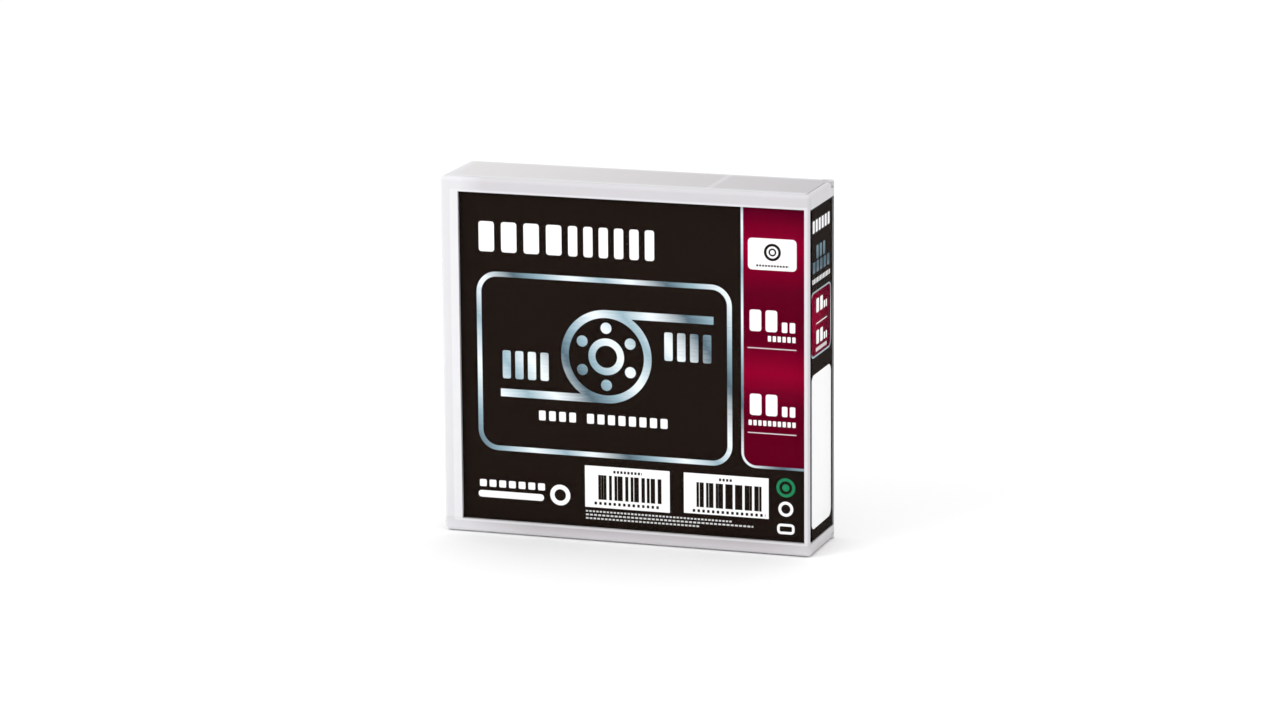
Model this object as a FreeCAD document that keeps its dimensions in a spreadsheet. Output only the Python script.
import FreeCAD, Part
import math
import os
import re
import Sketcher
from FreeCAD import Placement, Rotation, Vector

# A half-inch data tape cartridge in its hinged library case, in millimetres.
#
# Row frame: Z up, the closed case stands on its bottom wall, its lid faces -Y and its spine
# and hinge are at +X. The origin is the middle of the case's footprint.
#
# Cartridge frame: u runs along row X and v along row Z, both from the middle of the reel, and
# w runs from the hub side of the cartridge (against the tray) towards the lid, along row -Y.

# ---------------------------------------------------------------- driving dimensions

SIZES = {
    # cartridge shells
    "cart_width": 105.4,
    "cart_length": 102.0,
    "shell_wall": 1.8,
    "shell_chamfer": 2.0,
    "shell_round": 0.8,
    "hub_opening": 23.0,
    "hub_rib": 0.9,
    "hub_rib_width": 1.4,
    "boss_radius": 3.2,
    "screw_inset": 6.5,
    "shifted_screw_inset": 20.0,
    "shifted_screw_edge": 4.6,
    "grip_pitch": 2.4,
    "grip_width": 1.1,
    "grip_depth": 0.5,
    "grip_count": 9,
    "grip_from_rear": 8.0,
    "rear_label_end": 30.0,
    "top_label_end": 5.0,
    "label_recess": 0.4,
    "label_margin": 10.0,
    "arrow_length": 12.0,
    "arrow_width": 9.0,
    "arrow_height": 0.3,
    # screws
    "screw_head_radius": 2.0,
    "screw_head_height": 1.6,
    "screw_radius": 1.0,
    "screw_seat": 4.0,
    "screw_length": 12.0,
    "screw_clearance": 0.15,
    "thread_clearance": 0.03,
    "head_clearance": 0.3,
    "drive_slot": 0.6,
    # reel and tape
    "tape_width": 12.65,
    "tape_gap": 0.175,
    "reel_float": 0.3,
    "reel_lift_room": 1.3,
    "reel_gap": 0.7,
    "door_room": 1.7,
    "flange_thickness": 1.2,
    "flange_overhang": 1.6,
    "hub_radius": 22.0,
    "hub_wall": 4.0,
    "hub_floor": 2.0,
    "spigot_width": 2.0,
    "spigot_height": 1.0,
    "seat_clearance": 0.05,
    "drive_ring_inner": 16.5,
    "drive_ring_outer": 22.5,
    "drive_ring_height": 1.4,
    "drive_tooth_height": 0.7,
    "drive_tooth_width": 1.5,
    "drive_tooth_inset": 0.4,
    "tooth_count": 60,
    "brake_tooth_inner": 13.0,
    "brake_tooth_outer": 16.0,
    "brake_tooth_height": 0.8,
    "brake_tooth_width": 1.1,
    "plate_inner": 8.0,
    "plate_outer": 15.8,
    "plate_thickness": 1.0,
    # brake and release
    "leg_count": 3,
    "leg_circle": 10.6,
    "leg_radius": 1.5,
    "leg_clearance": 0.1,
    "leg_length": 2.9,
    "plate_hole_clearance": 0.3,
    "release_radius": 12.5,
    "release_thickness": 1.0,
    "release_gap": 0.2,
    "brake_radius": 16.5,
    "brake_rim": 2.6,
    "brake_gap": 0.1,
    "brake_lift": 1.3,
    "recess_clearance": 0.4,
    "button_clearance": 0.05,
    "tooth_clearance": 0.12,
    "socket_radius": 6.0,
    "socket_height": 4.5,
    "key_span": 3.0,
    "key_width": 2.0,
    "key_clearance": 0.2,
    "key_end_gap": 0.4,
    "brake_spring_radius": 8.0,
    "brake_spring_wire": 1.0,
    "brake_spring_turns": 4.5,
    "spring_seat_gap": 0.02,
    "spring_ring_width": 1.0,
    "spring_ring_height": 1.0,
    # leader pin, clip and tape
    "pin_inset": 9.0,
    "leader_pin_radius": 1.3,
    "leader_disc_radius": 2.4,
    "leader_disc_height": 1.2,
    "pin_end_gap": 0.2,
    "clip_wall": 0.55,
    "clip_clearance": 0.05,
    "clip_slot": 0.6,
    "strip_thickness": 0.2,
    "strip_gap": 0.3,
    "leaf_clearance": 0.05,
    "leaf_thickness": 0.3,
    "leaf_height": 1.0,
    "leaf_reach": 3.0,
    "cradle_clearance": 0.1,
    "cradle_wall": 0.9,
    "cradle_height": 1.8,
    # access door
    "window_start": 4.0,
    "window_length": 13.0,
    "door_thickness": 1.3,
    "door_clearance": 0.2,
    "door_lap_front": 1.0,
    "door_lap_rear": 5.0,
    "door_travel": 14.0,
    "door_groove": 0.4,
    "door_groove_start": 2.0,
    "door_groove_width": 0.5,
    "door_groove_length": 12.0,
    "door_groove_pitch": 1.0,
    "door_groove_count": 3,
    "rail_width": 1.0,
    "rail_height": 1.7,
    "rail_gap": 0.5,
    "door_tab_width": 3.0,
    "door_tab_thickness": 1.0,
    "door_tab_depth": 2.8,
    "door_spring_length": 22.0,
    "door_spring_radius": 1.15,
    "door_spring_wire": 0.4,
    "door_spring_turns": 12.0,
    "spring_post_thickness": 1.5,
    # write-protect slider
    "slider_length": 7.5,
    "slider_height": 5.0,
    "slider_thickness": 1.0,
    "slider_wall_gap": 0.3,
    "slider_from_side": 16.2,
    "slider_low": 4.5,
    "slider_travel": 5.0,
    "slider_clearance": 0.2,
    "knob_inset": 2.0,
    "knob_margin": 1.0,
    "knob_recess": 0.3,
    "guide_wall": 0.8,
    "guide_lap": 3.5,
    # memory chip board
    "chip_from_corner": 12.9,
    "chip_length": 22.0,
    "chip_thickness": 0.8,
    "chip_height": 12.0,
    "chip_clearance": 0.1,
    "chip_blob_radius": 3.0,
    "chip_blob_height": 0.5,
    "chip_rib": 1.2,
    "chip_rib_length": 3.0,
    "chip_rib_height": 4.0,
    "chip_rib_place": 7.0,
    # library case
    "case_wall": 1.5,
    "side_rib": 1.5,
    "side_rib_width": 2.0,
    "side_gap": 0.5,
    "post_gap": 0.3,
    "post_width": 0.9,
    "post_relief": 0.2,
    "post_depth": 7.0,
    "post_length": 18.0,
    "post_from_end": 12.0,
    "fold_gap": 0.3,
    "barrel_radius": 2.4,
    "barrel_sweep": 115.0,
    "barrel_disc": 2.0,
    "hinge_pin_radius": 1.0,
    "hinge_clearance": 0.05,
    "hinge_pin_setback": 0.25,
    "front_room": 1.8,
    "pad_height": 0.7,
    "pad_width": 3.0,
    "pad_inset": 16.0,
    "pad_from_end": 12.0,
    "rest_height": 2.0,
    "rest_width": 4.0,
    "rest_left": 12.0,
    "rest_ear_gap": 8.25,
    "rest_depth": 16.0,
    "ear_reach": 32.2,
    "ear_thickness": 1.3,
    "case_round": 1.3,
    "notch_length": 22.0,
    "notch_depth": 1.6,
    # printed inlay card
    "card_thickness": 0.25,
    "card_left_margin": 5.8,
    "card_low_margin": 4.1,
    "card_top_margin": 4.4,
    "card_hinge_margin": 0.5,
    "card_fold": 0.5,
    "card_gap": 0.15,
    "card_play": 0.05,
    "card_rib": 1.0,
    "card_rib_height": 0.8,
    "tab_length": 9.0,
    "tab_reach": 3.5,
    "tab_gap": 0.15,
    "tab_thickness": 0.6,
    "tab_from_end": 22.0,
}

# ---------------------------------------------------------------- places worked out from them

PLACES = {
    # across the cartridge
    "cart_right": "cart_width / 2",
    "cart_rear": "cart_length / 2",
    "inner_right": "cart_right - shell_wall",
    "inner_rear": "cart_rear - shell_wall",
    # through the cartridge, from the hub side
    "flange_low": "shell_wall + hub_rib + reel_float",
    "pack_floor": "flange_low + flange_thickness",
    "flange_high": "pack_floor + tape_width + 2 * tape_gap",
    "ceiling": "flange_high + flange_thickness + reel_lift_room",
    "cart_thickness": "ceiling + shell_wall",
    "seam": "cart_thickness / 2",
    "flange_radius": "min(cart_rear; cart_right - door_room) - shell_wall - reel_gap",
    "pack_radius": "flange_radius - flange_overhang",
    "hub_bore": "hub_radius - hub_wall",
    "floor_top": "flange_low + hub_floor",
    "release_low": "floor_top + release_gap",
    "release_top": "release_low + release_thickness",
    "brake_low": "floor_top + brake_gap",
    "brake_root": "floor_top + brake_tooth_height + brake_gap",
    "brake_top": "brake_root + brake_rim",
    "key_end": "brake_top + brake_lift + key_end_gap",
    # leader pin
    "pin_u": "cart_right - pin_inset",
    "pin_v": "pin_inset - cart_rear",
    "pin_low": "shell_wall + pin_end_gap",
    "pin_high": "ceiling - pin_end_gap",
    "clip_radius": "leader_pin_radius + clip_clearance",
    "leaf_radius": "leader_disc_radius + leaf_clearance",
    "cradle_radius": "leaf_radius + leaf_thickness + cradle_clearance",
    "strip_radius": "pack_radius + strip_gap + strip_thickness / 2",
    "pin_distance": "sqrt(pin_u ^ 2 + pin_v ^ 2)",
    "strip_length": "sqrt(pin_distance ^ 2 - strip_radius ^ 2)",
    "strip_turn": "180 deg + atan(pin_v / pin_u) - asin(strip_radius / pin_distance)",
    # access door
    "window_front": "window_start - cart_rear",
    "window_rear": "window_front + window_length",
    "door_outer": "inner_right - door_clearance",
    "door_inner": "door_outer - door_thickness",
    "door_front": "window_front - door_lap_front",
    "door_rear": "window_rear + door_lap_rear",
    "rail_outer": "door_inner - door_clearance",
    "rail_inner": "rail_outer - rail_width",
    "rail_rear": "door_rear + door_travel + door_lap_front",
    "spring_u": "door_outer - door_tab_depth / 2",
    "spring_rear": "door_rear + door_spring_length",
    # write-protect slider
    "slider_start": "cart_right - slider_from_side",
    "slider_outer": "inner_rear - slider_wall_gap",
    "slider_inner": "slider_outer - slider_thickness",
    "slider_end": "slider_start + slider_length",
    "knob_start": "slider_start + knob_inset",
    "knob_end": "slider_end - knob_inset",
    "knob_low": "slider_low + knob_margin",
    "knob_high": "slider_low + slider_height - knob_margin",
    # memory chip board, along the diagonal from the inner corner that it stands across
    "chip_outer": "-chip_from_corner",
    "chip_inner": "chip_outer - chip_thickness",
    "chip_foot": "shell_wall + chip_clearance",
    # library case
    "case_width": "case_wall + side_rib + side_gap + cart_width + post_gap + post_width"
                  " + post_relief + fold_gap + 2 * barrel_radius",
    "case_depth": "2 * case_wall + front_room + cart_thickness + pad_height",
    "case_height": "2 * case_wall + cart_length + 2 * rest_height",
    "case_right": "case_width / 2",
    "case_back": "case_depth / 2",
    "lid_inside": "case_wall - case_depth / 2",
    "spine_inside": "case_right - case_wall",
    "hinge_x": "case_right - barrel_radius",
    "hinge_y": "case_back - barrel_radius",
    "tray_left": "-case_right",
    "tray_right": "spine_inside - fold_gap",
    "tray_front": "lid_inside + fold_gap",
    "tray_floor": "case_back - case_wall",
    "spine_step": "hinge_y - barrel_radius - fold_gap",
    "barrel_low": "case_wall + fold_gap",
    "barrel_high": "case_height - case_wall - fold_gap",
    "ear_left": "case_right - ear_reach",
    # the cartridge's place in the case
    "cart_x": "tray_left + case_wall + side_rib + side_gap + cart_width / 2",
    "cart_y": "tray_floor - pad_height",
    "cart_z": "case_wall + rest_height + cart_length / 2",
    # printed inlay card
    "card_front": "lid_inside + card_play",
    "card_side": "spine_inside - card_play",
    "card_left": "card_left_margin - case_width / 2",
    "card_low": "card_low_margin",
    "card_high": "case_height - card_top_margin",
    "card_end": "hinge_y - card_hinge_margin",
}

doc = FreeCAD.newDocument("TapeCartridge")
sheet = doc.addObject("Spreadsheet::Sheet", "Sizes")
for row, (alias, value) in enumerate(SIZES.items(), start=1):
    sheet.set(f"A{row}", alias)
    sheet.set(f"B{row}", str(value))
    sheet.setAlias(f"B{row}", alias)
doc.recompute()

CUT_MARGIN = "1"          # how far a cutting solid runs past the face that it opens
TOUCH = 1e-4              # two places nearer than this are the same place
CHIP_CORNER = ("-inner_right", "inner_rear")
NODES = []


# ---------------------------------------------------------------- helpers

def spelled(text):
    """An expression with its sizes taken from the sheet and its places written out."""
    def word(match):
        name = match.group(0)
        if name in SIZES:
            return "Sizes." + name
        if name in PLACES:
            return "(" + spelled(PLACES[name]) + ")"
        return name
    return re.sub(r"[a-z_]+", word, text)


def bind(thing, field, text):
    thing.setExpression(field, spelled(text))


def piece(name, in_cartridge=True):
    """A new body for one physical piece, in the cartridge's frame or in the row's."""
    body = doc.addObject("PartDesign::Body", name)
    body.Label = name
    body.AllowCompound = True
    if in_cartridge:
        body.Placement = Placement(Vector(0, 0, 0), Rotation(Vector(1, 0, 0), 90))
        bind(body, "Placement.Base.x", "cart_x")
        bind(body, "Placement.Base.y", "cart_y")
        bind(body, "Placement.Base.z", "cart_z")
    NODES.append(body)
    return body


def origin(body, role):
    return [part for part in body.Origin.OriginFeatures if part.Role == role][0]


def block(body, name, low, high, cut=False, turn=None, about=("0", "0")):
    """A block between two corners, turned about a line along the body's Z if asked."""
    kind = "PartDesign::SubtractiveBox" if cut else "PartDesign::AdditiveBox"
    solid = body.newObject(kind, name)
    for side, start, stop in zip(("Length", "Width", "Height"), low, high):
        bind(solid, side, f"({stop}) - ({start})")
    if turn is None:
        base_x, base_y = low[0], low[1]
    else:
        solid.Placement = Placement(Vector(0, 0, 0), Rotation(Vector(0, 0, 1), 30))
        bind(solid, "Placement.Rotation.Angle", turn)
        base_x = f"{about[0]} + ({low[0]}) * cos({turn}) - ({low[1]}) * sin({turn})"
        base_y = f"{about[1]} + ({low[0]}) * sin({turn}) + ({low[1]}) * cos({turn})"
    bind(solid, "Placement.Base.x", base_x)
    bind(solid, "Placement.Base.y", base_y)
    bind(solid, "Placement.Base.z", low[2])
    return solid


def disc(body, name, centre, radius, low, high, cut=False, sweep="360"):
    """A round solid along the body's Z, or the sector of one that starts at its X."""
    kind = "PartDesign::SubtractiveCylinder" if cut else "PartDesign::AdditiveCylinder"
    solid = body.newObject(kind, name)
    bind(solid, "Radius", radius)
    bind(solid, "Height", f"({high}) - ({low})")
    bind(solid, "Angle", sweep)
    bind(solid, "Placement.Base.x", centre[0])
    bind(solid, "Placement.Base.y", centre[1])
    bind(solid, "Placement.Base.z", low)
    return solid


def outline(body, name, plane, corners, offset="0"):
    """A closed sketch through the given corners, every one held by two dimensions."""
    sketch = body.newObject("Sketcher::SketchObject", name)
    sketch.AttachmentSupport = (origin(body, plane), [""])
    sketch.MapMode = "FlatFace"
    bind(sketch, "AttachmentOffset.Base.z", offset)
    count = len(corners)
    ring = []
    for number in range(count):
        angle = 2 * math.pi * number / count
        ring.append(Vector(math.cos(angle), math.sin(angle), 0))
    for number in range(count):
        sketch.addGeometry(Part.LineSegment(ring[number], ring[(number + 1) % count]), False)
    for number in range(count):
        sketch.addConstraint(Sketcher.Constraint("Coincident", number, 2, (number + 1) % count, 1))
    for number, corner in enumerate(corners):
        for kind, start, text in zip(("DistanceX", "DistanceY"), ring[number], corner):
            held = sketch.addConstraint(Sketcher.Constraint(kind, -1, 1, number, 1, start))
            bind(sketch, f"Constraints[{held}]", text)
    return sketch


def turned(body, name, corners):
    """A full revolution about the body's Z of a profile given as radius and height."""
    sketch = outline(body, name + "_profile", "XZ_Plane", corners)
    solid = body.newObject("PartDesign::Revolution", name)
    solid.Profile = sketch
    solid.ReferenceAxis = (origin(body, "Z_Axis"), [""])
    solid.Angle = 360
    return solid


def teeth(body, name, half_width, base, tip, inner, outer, cut=False):
    """A ring of radial V teeth, or of V grooves, between two radii."""
    corners = [(f"-({half_width})", base), (half_width, base), ("0", tip)]
    sketch = outline(body, name + "_profile", "YZ_Plane", corners, offset=inner)
    tooth = body.newObject("PartDesign::Pocket" if cut else "PartDesign::Pad", name + "_one")
    tooth.Profile = sketch
    tooth.Reversed = cut
    bind(tooth, "Length", f"({outer}) - ({inner})")
    return around(body, name, tooth, "tooth_count")


def around(body, name, feature, count):
    """Copies of a feature spread evenly about the body's Z."""
    pattern = body.newObject("PartDesign::PolarPattern", name)
    pattern.Originals = [feature]
    pattern.Axis = (origin(body, "Z_Axis"), [""])
    pattern.Angle = 360
    bind(pattern, "Occurrences", count)
    body.Tip = pattern
    return pattern


def along(body, name, feature, axis, count, pitch):
    """Copies of a feature in a row along one of the body's axes."""
    pattern = body.newObject("PartDesign::LinearPattern", name)
    pattern.Originals = [feature]
    pattern.Direction = (origin(body, axis), [""])
    pattern.Reversed = True
    bind(pattern, "Occurrences", count)
    bind(pattern, "Length", f"({pitch}) * ({count} - 1)")
    body.Tip = pattern
    return pattern


def softened(body, name, chosen, amount, kind="PartDesign::Fillet"):
    """Rounds or bevels edges of the body's last feature, picked by their boxes in its own."""
    doc.recompute()
    base = body.Tip
    names = []
    for number, edge in enumerate(base.Shape.Edges, start=1):
        if chosen(edge.BoundBox, base.Shape.BoundBox):
            names.append(f"Edge{number}")
    feature = body.newObject(kind, name)
    feature.Base = (base, names)
    bind(feature, "Radius" if kind == "PartDesign::Fillet" else "Size", amount)
    return feature


def coil(body, name, radius, wire, low, high, turns):
    """A round-wire compression spring about the body's Z, between two flat seats."""
    sketch = body.newObject("Sketcher::SketchObject", name + "_wire")
    sketch.AttachmentSupport = (origin(body, "XZ_Plane"), [""])
    sketch.MapMode = "FlatFace"
    sketch.addGeometry(Part.Circle(Vector(1, 1, 0), Vector(0, 0, 1), 0.5), False)
    for kind, places, text in (
        ("Radius", (0, 0.5), f"({wire}) / 2"),
        ("DistanceX", (-1, 1, 0, 3, 1), radius),
        ("DistanceY", (-1, 1, 0, 3, 1), f"({low}) + ({wire}) / 2 + spring_seat_gap"),
    ):
        held = sketch.addConstraint(Sketcher.Constraint(kind, *places))
        bind(sketch, f"Constraints[{held}]", text)
    rise = f"(({high}) - ({low}) - ({wire}) - 2 * spring_seat_gap)"
    helix = body.newObject("PartDesign::AdditiveHelix", name)
    helix.Profile = sketch
    helix.ReferenceAxis = (origin(body, "Z_Axis"), [""])
    helix.Mode = "pitch-height-angle"
    bind(helix, "Height", rise)
    bind(helix, "Pitch", f"{rise} / ({turns})")
    return helix


def cradle(body, name, inner, wall, low, high, free_end):
    """A U-shaped wall about the leader pin, open towards the window, cut through its free end."""
    pin = ("pin_u", "pin_v")
    outer = f"({inner} + {wall})"
    cut_low, cut_high = low, high
    if free_end == "low":
        cut_low = f"{low} - {CUT_MARGIN}"
    else:
        cut_high = f"{high} + {CUT_MARGIN}"
    disc(body, name + "_bend", pin, outer, low, high)
    block(body, name + "_arms", ("pin_u", f"pin_v - {outer}", low),
          ("pin_u + leaf_reach", f"pin_v + {outer}", high))
    disc(body, name + "_seat", pin, inner, cut_low, cut_high, cut=True)
    block(body, name + "_mouth", ("pin_u", f"pin_v - {inner}", cut_low),
          (f"pin_u + leaf_reach + {CUT_MARGIN}", f"pin_v + {inner}", cut_high), cut=True)


# ---------------------------------------------------------------- library case

def case_tray():
    body = piece("case_tray", in_cartridge=False)
    block(body, "tray_block", ("tray_left", "tray_front", "0"),
          ("hinge_x", "case_back", "case_height"))

    def outer_edge(box, whole):
        on_back = box.YMin > whole.YMax - TOUCH
        on_left = box.XMax < whole.XMin + TOUCH
        on_end = box.ZMax < whole.ZMin + TOUCH or box.ZMin > whole.ZMax - TOUCH
        return (on_back and (on_end or on_left)) or (on_left and on_end)
    softened(body, "tray_round", outer_edge, "case_round")
    block(body, "tray_edge", ("hinge_x - barrel_radius", "tray_front", "0"),
          ("tray_right", "hinge_y", "case_height"))
    disc(body, "tray_knuckle", ("hinge_x", "hinge_y"), "barrel_radius", "0", "case_height")
    block(body, "tray_inside", ("tray_left + case_wall", f"tray_front - {CUT_MARGIN}", "case_wall"),
          (f"case_right + {CUT_MARGIN}", "tray_floor", "case_height - case_wall"), cut=True)
    disc(body, "barrel_room", ("hinge_x", "hinge_y"), "barrel_radius + fold_gap",
         "case_wall", "case_height - case_wall", cut=True)
    disc(body, "hinge_holes", ("hinge_x", "hinge_y"), "hinge_pin_radius + hinge_clearance",
         f"-{CUT_MARGIN}", f"case_height + {CUT_MARGIN}", cut=True)
    cart_left, cart_side = "cart_x - cart_width / 2", "cart_x + cart_width / 2"
    cart_low, cart_top = "cart_z - cart_length / 2", "cart_z + cart_length / 2"
    for side, start in (("left", f"{cart_left} + pad_inset"),
                        ("right", f"{cart_side} - pad_inset - pad_width")):
        block(body, f"back_pad_{side}", (start, "cart_y", f"{cart_low} + pad_from_end"),
              (f"{start} + pad_width", "tray_floor", f"{cart_top} - pad_from_end"))
    for side, start in (("left", f"{cart_left} + rest_left"),
                        ("right", "ear_left - rest_ear_gap - rest_width")):
        stop, front = f"{start} + rest_width", "tray_floor - rest_depth"
        block(body, f"low_rest_{side}", (start, front, "case_wall"), (stop, "tray_floor", cart_low))
        block(body, f"top_rest_{side}", (start, front, f"{cart_top} + fold_gap"),
              (stop, "tray_floor", "case_height - case_wall"))
    for end, start in (("low", f"{cart_low} + post_from_end"),
                       ("top", f"{cart_top} - post_from_end - post_length")):
        block(body, f"side_post_{end}", (f"{cart_side} + post_gap", "tray_floor - post_depth", start),
              (f"{cart_side} + post_gap + post_width", "tray_floor", f"{start} + post_length"))
        middle = f"{start} + post_length / 2"
        block(body, f"side_rib_{end}",
              ("tray_left + case_wall", "tray_floor - post_depth", f"{middle} - side_rib_width / 2"),
              ("tray_left + case_wall + side_rib", "tray_floor", f"{middle} + side_rib_width / 2"))
    block(body, "thumb_notch",
          (f"tray_left - {CUT_MARGIN}", f"tray_front - {CUT_MARGIN}", "case_height / 2 - notch_length / 2"),
          (f"tray_left + case_wall + {CUT_MARGIN}", "tray_front + notch_depth",
           "case_height / 2 + notch_length / 2"), cut=True)


def case_lid():
    body = piece("case_lid", in_cartridge=False)
    block(body, "lid_plate", ("-case_right", "-case_back", "0"),
          ("case_right", "lid_inside", "case_height"))
    block(body, "lid_spine", ("spine_inside", "-case_back", "0"),
          ("case_right", "spine_step", "case_height"))

    def outer_edge(box, whole):
        on_front = box.YMax < whole.YMin + TOUCH
        on_side = box.XMin > whole.XMax - TOUCH or box.XMax < whole.XMin + TOUCH
        on_end = box.ZMax < whole.ZMin + TOUCH or box.ZMin > whole.ZMax - TOUCH
        return on_front or (on_side and on_end)
    softened(body, "lid_round", outer_edge, "case_round")
    hinge = ("hinge_x", "hinge_y")
    block(body, "lid_neck", ("spine_inside", "spine_step", "barrel_low"),
          ("case_right", "hinge_y", "barrel_high"))
    disc(body, "lid_barrel", hinge, "barrel_radius", "barrel_low", "barrel_high",
         sweep="barrel_sweep")
    disc(body, "barrel_bore", hinge, "barrel_radius - case_wall", "barrel_low", "barrel_high",
         cut=True)
    disc(body, "low_disc", hinge, "barrel_radius", "barrel_low", "barrel_low + barrel_disc")
    disc(body, "top_disc", hinge, "barrel_radius", "barrel_high - barrel_disc", "barrel_high")
    disc(body, "low_pin", hinge, "hinge_pin_radius", "hinge_pin_setback", "barrel_low")
    disc(body, "top_pin", hinge, "hinge_pin_radius", "barrel_high", "case_height - hinge_pin_setback")
    block(body, "low_ear", ("ear_left", "lid_inside", "barrel_low"),
          ("spine_inside", "hinge_y", "barrel_low + ear_thickness"))
    block(body, "top_ear", ("ear_left", "lid_inside", "barrel_high - ear_thickness"),
          ("spine_inside", "hinge_y", "barrel_high"))
    rib_start, rib_top = "card_left - card_gap - card_rib", "lid_inside + card_rib_height"
    rib_low, rib_high = "card_low - card_gap", "card_high + card_gap"
    block(body, "card_rib_left", (rib_start, "lid_inside", rib_low),
          ("card_left - card_gap", rib_top, rib_high))
    block(body, "card_rib_low", (rib_start, "lid_inside", f"{rib_low} - card_rib"),
          ("spine_inside", rib_top, rib_low))
    block(body, "card_rib_top", (rib_start, "lid_inside", rib_high),
          ("spine_inside", rib_top, f"{rib_high} + card_rib"))
    tab_low = "card_front + card_thickness + tab_gap"
    tab_high = f"{tab_low} + tab_thickness"
    for side, start in (("left", "card_left + tab_from_end"),
                        ("right", "spine_inside - tab_from_end - tab_length")):
        stop = f"{start} + tab_length"
        block(body, f"low_tab_{side}", (start, tab_low, f"{rib_low} - card_rib"),
              (stop, tab_high, "card_low + tab_reach"))
        block(body, f"top_tab_{side}", (start, tab_low, "card_high - tab_reach"),
              (stop, tab_high, f"{rib_high} + card_rib"))


def inlay_card():
    body = piece("inlay_card", in_cartridge=False)
    block(body, "front_panel", ("card_left", "card_front", "card_low"),
          ("card_side", "card_front + card_thickness", "card_high"))
    block(body, "spine_panel", ("card_side - card_thickness", "card_front", "card_low"),
          ("card_side", "card_end", "card_high"))

    def fold(box, whole):
        return box.XMin > whole.XMax - TOUCH and box.YMax < whole.YMin + TOUCH
    softened(body, "card_fold_round", fold, "card_fold")


# ---------------------------------------------------------------- cartridge shells

def screw_places():
    """Where the four screws stand; the one by the leader pin is shifted inwards."""
    side, end = "cart_right - screw_inset", "cart_rear - screw_inset"
    return [(f"-({side})", f"-({end})"), (f"-({side})", end), (side, end),
            ("cart_right - shifted_screw_inset", "shifted_screw_edge - cart_rear")]


def shell_block(body, name, low, high, rim_on_top):
    """One half of the cartridge's box with its upright corners bevelled and rim rounded."""
    block(body, name, ("-cart_right", "-cart_rear", low), ("cart_right", "cart_rear", high))

    def corner(box, whole):
        return box.XLength < TOUCH and box.YLength < TOUCH
    softened(body, name + "_corners", corner, "shell_chamfer", kind="PartDesign::Chamfer")

    def rim(box, whole):
        return box.ZMin > whole.ZMax - TOUCH if rim_on_top else box.ZMax < whole.ZMin + TOUCH
    softened(body, name + "_rim", rim, "shell_round")


def shell_openings(body, low, high):
    """What both halves share: the tape window, grip grooves and the rear label recess."""
    block(body, "tape_window", (f"inner_right - {CUT_MARGIN}", "window_front", low),
          (f"cart_right + {CUT_MARGIN}", "window_rear", high), cut=True)
    for side, inner, outer in (("left", f"-cart_right - {CUT_MARGIN}", "grip_depth - cart_right"),
                               ("right", "cart_right - grip_depth", f"cart_right + {CUT_MARGIN}")):
        start = "cart_rear - grip_from_rear - grip_width"
        groove = block(body, f"grip_{side}_one", (inner, start, low),
                       (outer, f"{start} + grip_width", high), cut=True)
        along(body, f"grip_{side}", groove, "Y_Axis", "grip_count", "grip_pitch")
    block(body, "rear_label", ("label_margin - cart_right", "cart_rear - label_recess", low),
          ("cart_right - rear_label_end", f"cart_rear + {CUT_MARGIN}", high), cut=True)


def shell_guides(body, low, high, half):
    """Rails behind the door, the spring's post and the chip's slots, against one face."""
    for part, start, stop in (("front", "-inner_rear", "window_front + rail_gap"),
                              ("rear", "window_rear + rail_gap", "rail_rear")):
        block(body, f"{half}_rail_{part}", ("rail_inner", start, low), ("rail_outer", stop, high))
    if half == "lower":
        foot, head = low, f"{low} + chip_rib_height"
    else:
        foot, head = f"{high} - chip_rib_height", high
    for end, sign in (("left", "-1"), ("rear", "1")):
        start = f"{sign} * chip_rib_place - chip_rib_length / 2"
        for face, near in (("inner", "chip_inner - chip_clearance - chip_rib"),
                           ("outer", "chip_outer + chip_clearance")):
            block(body, f"{half}_chip_rib_{face}_{end}", (start, near, foot),
                  (f"{start} + chip_rib_length", f"{near} + chip_rib", head),
                  turn="45 deg", about=CHIP_CORNER)


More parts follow.
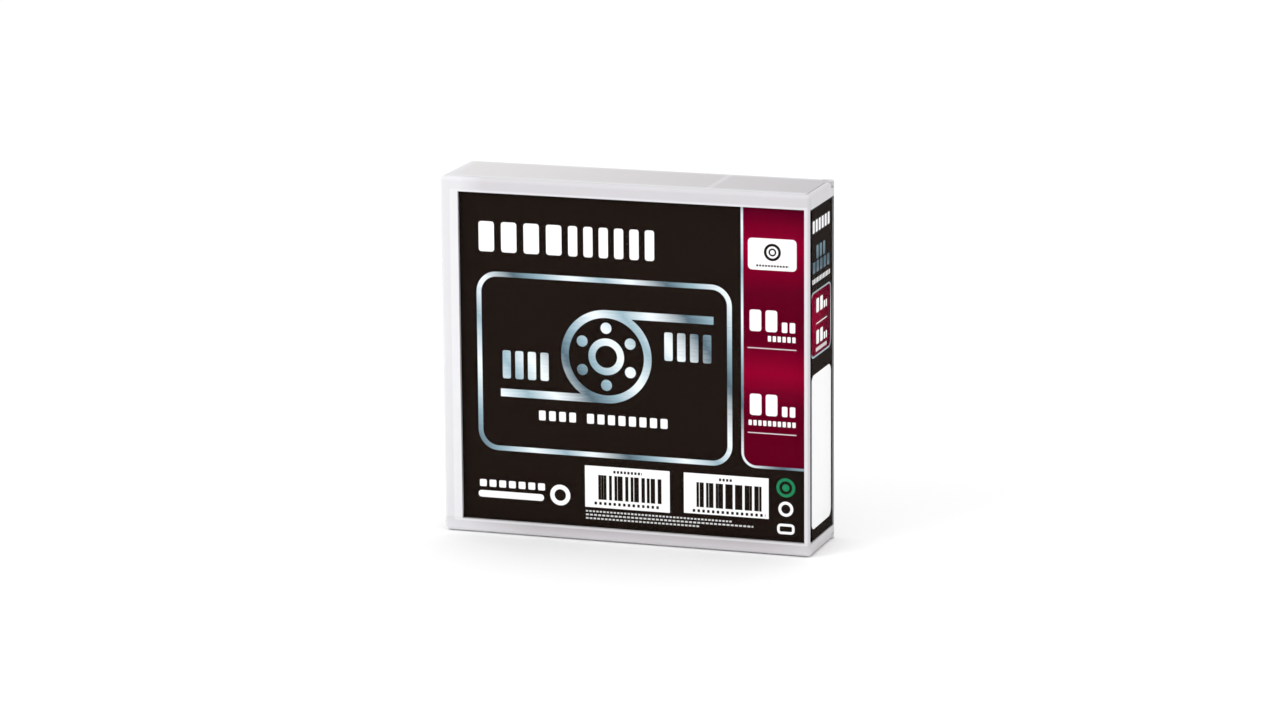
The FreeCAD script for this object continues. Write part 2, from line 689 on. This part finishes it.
def lower_shell():
    body = piece("lower_shell")
    shell_block(body, "lower_block", "0", "seam", rim_on_top=False)
    block(body, "lower_inside", ("-inner_right", "-inner_rear", "shell_wall"),
          ("inner_right", "inner_rear", f"seam + {CUT_MARGIN}"), cut=True)
    disc(body, "hub_rim", ("0", "0"), "hub_opening + hub_rib_width", "shell_wall", "shell_wall + hub_rib")
    for number, place in enumerate(screw_places(), start=1):
        disc(body, f"boss_{number}", place, "boss_radius", "shell_wall", "seam")
        disc(body, f"counterbore_{number}", place, "screw_head_radius + head_clearance",
             f"-{CUT_MARGIN}", "screw_seat", cut=True)
        disc(body, f"screw_hole_{number}", place, "screw_radius + screw_clearance",
             f"screw_seat - {CUT_MARGIN}", f"seam + {CUT_MARGIN}", cut=True)
    disc(body, "hub_hole", ("0", "0"), "hub_opening", f"-{CUT_MARGIN}",
         f"shell_wall + hub_rib + {CUT_MARGIN}", cut=True)
    shell_openings(body, "shell_wall", f"seam + {CUT_MARGIN}")
    shell_guides(body, "shell_wall", "shell_wall + rail_height", "lower")
    block(body, "lower_spring_post",
          ("spring_u - door_tab_depth / 2", "spring_rear", "seam - door_tab_width / 2"),
          ("inner_right + shell_wall / 2", "spring_rear + spring_post_thickness", "seam"))
    cradle(body, "lower_cradle", "cradle_radius", "cradle_wall",
           "shell_wall", "shell_wall + cradle_height", free_end="high")
    block(body, "slider_window",
          ("knob_start - slider_clearance", f"inner_rear - {CUT_MARGIN}",
           "knob_low - slider_clearance"),
          ("knob_end + slider_travel + slider_clearance", f"cart_rear + {CUT_MARGIN}",
           "knob_high + slider_clearance"), cut=True)
    block(body, "slider_ledge",
          ("slider_start - guide_wall", "slider_inner - slider_clearance", "shell_wall"),
          ("slider_end + slider_travel", "inner_rear", "slider_low - slider_clearance"))
    block(body, "slider_keeper",
          ("slider_start - guide_wall", "slider_inner - slider_clearance - guide_wall", "shell_wall"),
          ("slider_end - knob_inset", "slider_inner - slider_clearance", "slider_low + guide_lap"))


def upper_shell():
    body = piece("upper_shell")
    shell_block(body, "upper_block", "seam", "cart_thickness", rim_on_top=True)
    block(body, "upper_inside", ("-inner_right", "-inner_rear", f"seam - {CUT_MARGIN}"),
          ("inner_right", "inner_rear", "ceiling"), cut=True)
    for number, place in enumerate(screw_places(), start=1):
        disc(body, f"post_{number}", place, "boss_radius", "seam", "ceiling")
        disc(body, f"pilot_{number}", place, "screw_radius + thread_clearance",
             f"seam - {CUT_MARGIN}", "screw_seat + screw_length + spring_seat_gap", cut=True)
    disc(body, "spring_ring", ("0", "0"),
         "brake_spring_radius + brake_spring_wire + spring_ring_width",
         "ceiling - spring_ring_height", "ceiling")
    disc(body, "spring_seat", ("0", "0"), "brake_spring_radius + brake_spring_wire",
         f"ceiling - spring_ring_height - {CUT_MARGIN}", "ceiling", cut=True)
    block(body, "key_across", ("-key_span", "-key_width / 2", "key_end"),
          ("key_span", "key_width / 2", "ceiling"))
    block(body, "key_along", ("-key_width / 2", "-key_span", "key_end"),
          ("key_width / 2", "key_span", "ceiling"))
    shell_openings(body, f"seam - {CUT_MARGIN}", "ceiling")
    shell_guides(body, "ceiling - rail_height", "ceiling", "upper")
    block(body, "upper_spring_post", ("spring_u - door_tab_depth / 2", "spring_rear", "seam"),
          ("inner_right + shell_wall / 2", "spring_rear + spring_post_thickness",
           "seam + door_tab_width / 2"))
    cradle(body, "upper_cradle", "cradle_radius", "cradle_wall",
           "ceiling - cradle_height", "ceiling", free_end="low")
    block(body, "top_label", ("label_margin - cart_right", "0", "cart_thickness - label_recess"),
          ("cart_right - label_margin", "cart_rear - top_label_end", f"cart_thickness + {CUT_MARGIN}"),
          cut=True)
    arrow = outline(body, "arrow_profile", "XY_Plane",
                    [("-arrow_width / 2", "-cart_rear / 2"), ("0", "-cart_rear / 2 - arrow_length"),
                     ("arrow_width / 2", "-cart_rear / 2")], offset="cart_thickness - arrow_height")
    carved = body.newObject("PartDesign::Pocket", "arrow")
    carved.Profile = arrow
    carved.Reversed = True
    bind(carved, "Length", f"arrow_height + {CUT_MARGIN}")


def shell_screws():
    body = piece("shell_screws")
    head_low = "screw_seat - screw_head_height"
    for number, (u, v) in enumerate(screw_places(), start=1):
        disc(body, f"head_{number}", (u, v), "screw_head_radius", head_low, "screw_seat")
        disc(body, f"shank_{number}", (u, v), "screw_radius", "screw_seat", "screw_seat + screw_length")
        deep = f"{head_low} + screw_head_height / 2"
        for way, half_u, half_v in (("across", "screw_radius", "drive_slot / 2"),
                                    ("along", "drive_slot / 2", "screw_radius")):
            block(body, f"slot_{way}_{number}",
                  (f"{u} - {half_u}", f"{v} - {half_v}", f"{head_low} - {CUT_MARGIN}"),
                  (f"{u} + {half_u}", f"{v} + {half_v}", deep), cut=True)


# ---------------------------------------------------------------- reel

def reel_hub():
    body = piece("reel_hub")
    turned(body, "hub_turned", [
        ("0", "flange_low"), ("drive_ring_inner", "flange_low"),
        ("drive_ring_inner", "flange_low - drive_ring_height"),
        ("drive_ring_outer", "flange_low - drive_ring_height"), ("drive_ring_outer", "flange_low"),
        ("flange_radius", "flange_low"), ("flange_radius", "pack_floor"), ("hub_radius", "pack_floor"),
        ("hub_radius", "flange_high"), ("hub_bore + spigot_width", "flange_high"),
        ("hub_bore + spigot_width", "flange_high + spigot_height"),
        ("hub_bore", "flange_high + spigot_height"), ("hub_bore", "floor_top"), ("0", "floor_top")])
    ring_face = "flange_low - drive_ring_height"
    teeth(body, "drive_teeth", "drive_tooth_width / 2", ring_face, f"{ring_face} - drive_tooth_height",
          "drive_ring_inner + drive_tooth_inset", "drive_ring_outer - drive_tooth_inset")
    teeth(body, "brake_teeth", "brake_tooth_width / 2", "floor_top", "floor_top + brake_tooth_height",
          "brake_tooth_inner", "brake_tooth_outer")
    hole = disc(body, "leg_hole", ("leg_circle", "0"), "leg_radius + leg_clearance",
                f"flange_low - {CUT_MARGIN}", f"floor_top + {CUT_MARGIN}", cut=True)
    around(body, "leg_holes", hole, "leg_count")


def reel_top_flange():
    body = piece("reel_top_flange")
    bore = "hub_bore + spigot_width + seat_clearance"
    turned(body, "flange_turned", [
        (bore, "flange_high"), ("flange_radius", "flange_high"),
        ("flange_radius", "flange_high + flange_thickness"), (bore, "flange_high + flange_thickness")])


def drive_plate():
    body = piece("drive_plate")
    low = "flange_low - plate_thickness"
    turned(body, "plate_turned", [("plate_inner", low), ("plate_outer", low),
                                  ("plate_outer", "flange_low"), ("plate_inner", "flange_low")])
    hole = disc(body, "plate_hole", ("leg_circle", "0"), "leg_radius + plate_hole_clearance",
                f"{low} - {CUT_MARGIN}", f"flange_low + {CUT_MARGIN}", cut=True)
    around(body, "plate_holes", hole, "leg_count")


def tape_pack():
    body = piece("tape_pack")
    inner = "hub_radius + seat_clearance"
    low, high = "pack_floor + tape_gap", "flange_high - tape_gap"
    turned(body, "pack_turned", [(inner, low), ("pack_radius", low), ("pack_radius", high), (inner, high)])


# ---------------------------------------------------------------- brake and release

def brake_button():
    body = piece("brake_button")
    recess = "release_radius + recess_clearance"
    turned(body, "brake_turned", [
        ("0", "release_top + button_clearance"), (recess, "release_top + button_clearance"),
        (recess, "brake_low"), ("brake_radius", "brake_low"), ("brake_radius", "brake_top"),
        ("socket_radius", "brake_top"), ("socket_radius", "brake_top + socket_height"),
        ("0", "brake_top + socket_height")])
    span, half = "key_span + key_clearance", "key_width / 2 + key_clearance"
    for way, u, v in (("across", span, half), ("along", half, span)):
        block(body, f"socket_{way}", (f"-({u})", f"-({v})", "brake_top"),
              (u, v, f"brake_top + socket_height + {CUT_MARGIN}"), cut=True)
    teeth(body, "brake_grooves", "brake_tooth_width / 2 + tooth_clearance", "floor_top",
          "brake_root + brake_gap / 2", f"{recess} - {CUT_MARGIN}", f"brake_radius + {CUT_MARGIN}",
          cut=True)


def release_button():
    body = piece("release_button")
    disc(body, "release_plate", ("0", "0"), "release_radius", "release_low", "release_top")
    leg = disc(body, "release_leg", ("leg_circle", "0"), "leg_radius",
               "release_low - leg_length", "release_low")
    around(body, "release_legs", leg, "leg_count")


def brake_spring():
    body = piece("brake_spring")
    coil(body, "brake_coil", "brake_spring_radius", "brake_spring_wire", "brake_top", "ceiling",
         "brake_spring_turns")


# ---------------------------------------------------------------- leader

def leader_pin():
    body = piece("leader_pin")
    pin = ("pin_u", "pin_v")
    disc(body, "pin_rod", pin, "leader_pin_radius", "pin_low", "pin_high")
    disc(body, "pin_low_disc", pin, "leader_disc_radius", "pin_low", "pin_low + leader_disc_height")
    disc(body, "pin_high_disc", pin, "leader_disc_radius", "pin_high - leader_disc_height", "pin_high")


def leader_clip():
    body = piece("leader_clip")
    pin = ("pin_u", "pin_v")
    low, high = "pack_floor + tape_gap", "flange_high - tape_gap"
    disc(body, "clip_round", pin, "clip_radius + clip_wall", low, high)
    disc(body, "clip_bore", pin, "clip_radius", f"{low} - {CUT_MARGIN}", f"{high} + {CUT_MARGIN}", cut=True)
    block(body, "clip_mouth", ("0", "-clip_slot / 2", f"{low} - {CUT_MARGIN}"),
          (f"clip_radius + clip_wall + {CUT_MARGIN}", "clip_slot / 2", f"{high} + {CUT_MARGIN}"),
          cut=True, turn="strip_turn", about=pin)


def leader_tape():
    body = piece("leader_tape")
    low, high = "pack_floor + tape_gap", "flange_high - tape_gap"
    block(body, "tape_strip", ("clip_radius", "-strip_thickness / 2", low),
          ("strip_length", "strip_thickness / 2", high), turn="strip_turn", about=("pin_u", "pin_v"))


def pin_spring(name, low, high):
    body = piece(name)
    cradle(body, name + "_leaf", "leaf_radius", "leaf_thickness", low, high, free_end="high")


# ---------------------------------------------------------------- access door

def access_door():
    body = piece("access_door")
    low, high = "shell_wall + door_clearance", "ceiling - door_clearance"
    block(body, "door_plate", ("door_inner", "door_front", low), ("door_outer", "door_rear", high))
    block(body, "door_tab", ("door_outer - door_tab_depth", "door_rear - door_tab_thickness",
                             "seam - door_tab_width / 2"),
          ("door_outer", "door_rear", "seam + door_tab_width / 2"))
    groove = block(body, "door_groove_one",
                   ("door_outer - door_groove", "window_front + door_groove_start",
                    "seam - door_groove_length / 2"),
                   (f"door_outer + {CUT_MARGIN}", "window_front + door_groove_start + door_groove_width",
                    "seam + door_groove_length / 2"), cut=True)
    grooves = along(body, "door_grooves", groove, "Y_Axis", "door_groove_count", "door_groove_pitch")
    grooves.Reversed = False


def door_spring():
    body = piece("door_spring", in_cartridge=False)
    bind(body, "Placement.Base.x", "cart_x + spring_u")
    bind(body, "Placement.Base.y", "cart_y - seam")
    bind(body, "Placement.Base.z", "cart_z + door_rear")
    coil(body, "door_coil", "door_spring_radius", "door_spring_wire", "0", "door_spring_length",
         "door_spring_turns")


# ---------------------------------------------------------------- write-protect slider, chip

def write_protect_slider():
    body = piece("write_protect_slider")
    block(body, "slider_plate", ("slider_start", "slider_inner", "slider_low"),
          ("slider_end", "slider_outer", "slider_low + slider_height"))
    block(body, "slider_knob", ("knob_start", "slider_outer", "knob_low"),
          ("knob_end", "cart_rear - knob_recess", "knob_high"))


def memory_chip():
    body = piece("memory_chip")
    block(body, "chip_board", ("-chip_length / 2", "chip_inner", "chip_foot"),
          ("chip_length / 2", "chip_outer", "chip_foot + chip_height"), turn="45 deg", about=CHIP_CORNER)
    middle = "chip_foot + chip_height / 2"
    block(body, "chip_package",
          ("-chip_blob_radius", "chip_inner - chip_blob_height", f"{middle} - chip_blob_radius / 2"),
          ("chip_blob_radius", "chip_inner", f"{middle} + chip_blob_radius / 2"),
          turn="45 deg", about=CHIP_CORNER)


# ---------------------------------------------------------------- build, check and write

BUILDERS = [
    case_tray, case_lid, inlay_card, lower_shell, upper_shell, shell_screws, reel_hub, reel_top_flange,
    drive_plate, tape_pack, brake_button, release_button, brake_spring, leader_pin, leader_clip,
    leader_tape, access_door, door_spring, write_protect_slider, memory_chip,
]
for build in BUILDERS:
    build()
pin_spring("pin_spring_lower", "pin_low + leaf_clearance", "pin_low + leaf_clearance + leaf_height")
pin_spring("pin_spring_upper", "pin_high - leaf_clearance - leaf_height", "pin_high - leaf_clearance")
doc.recompute()

faults = []
for thing in doc.Objects:
    if "Invalid" in thing.State or "Error" in thing.State:
        faults.append(f"{thing.Name} failed: {thing.State}")
for body in NODES:
    if body.Shape.isNull() or not body.Shape.isValid():
        faults.append(f"{body.Label} has no valid shape")
if faults:
    raise SystemExit("\n".join(faults))

os.makedirs("parts", exist_ok=True)
for body in NODES:
    body.Shape.exportStep(f"parts/{body.Label}.step")
    box = body.Shape.BoundBox
    print(f"{body.Label:22s} solids {len(body.Shape.Solids)}  volume {body.Shape.Volume:10.1f}"
          f"  x {box.XMin:6.2f} {box.XMax:6.2f}  y {box.YMin:6.2f} {box.YMax:6.2f}"
          f"  z {box.ZMin:6.2f} {box.ZMax:6.2f}")
